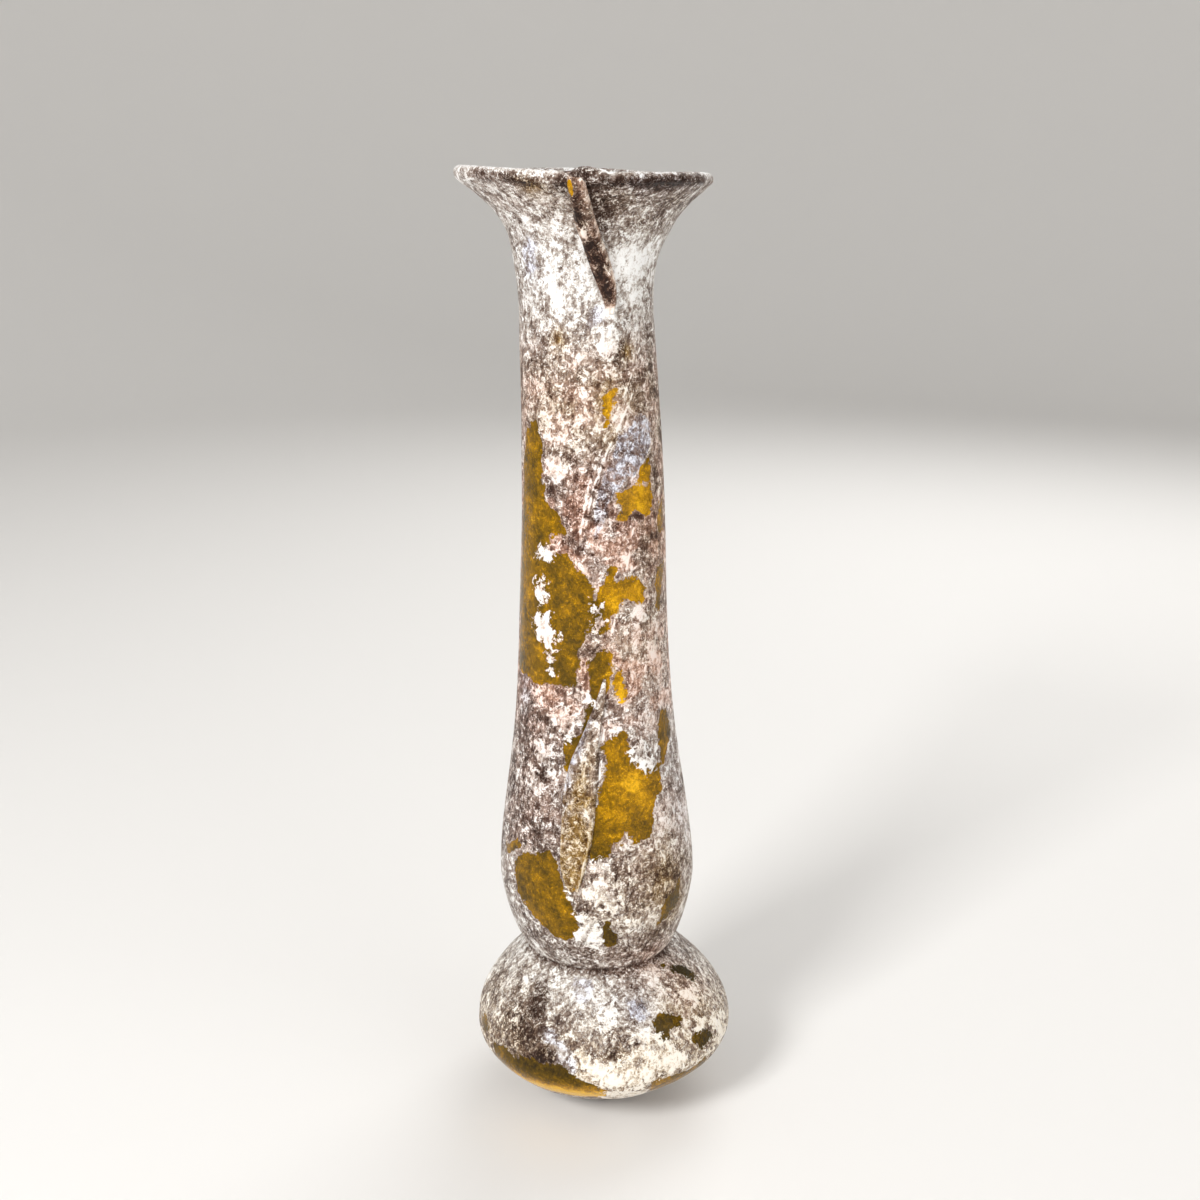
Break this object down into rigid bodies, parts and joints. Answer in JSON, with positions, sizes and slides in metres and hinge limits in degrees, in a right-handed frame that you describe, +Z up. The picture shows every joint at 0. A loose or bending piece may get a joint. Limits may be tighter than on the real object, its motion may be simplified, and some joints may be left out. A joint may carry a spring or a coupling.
{
  "type": "glass unguentarium",
  "caption": "Tall tubular flask of weathered amber glass with a squat foot bulb, a pinched waist, a flared rolled rim and the remains of a handle trail.",
  "frame": {"origin": "on the surface it stands on, under the centre of the foot bulb at its widest", "axes": "+Z up from the foot to the mouth; -Y the front, where the handle trail runs; +X to the right as seen from the front, away from the lean of the tube"},
  "size_m": [0.0517, 0.0512, 0.1798],
  "materials": {
    "weathered_amber_glass": "translucent amber glass, mostly under a pale pearly weathering crust"
  },
  "bodies": {
    "root": {"vessel": "weathered_amber_glass"}
  },
  "joints": []
}
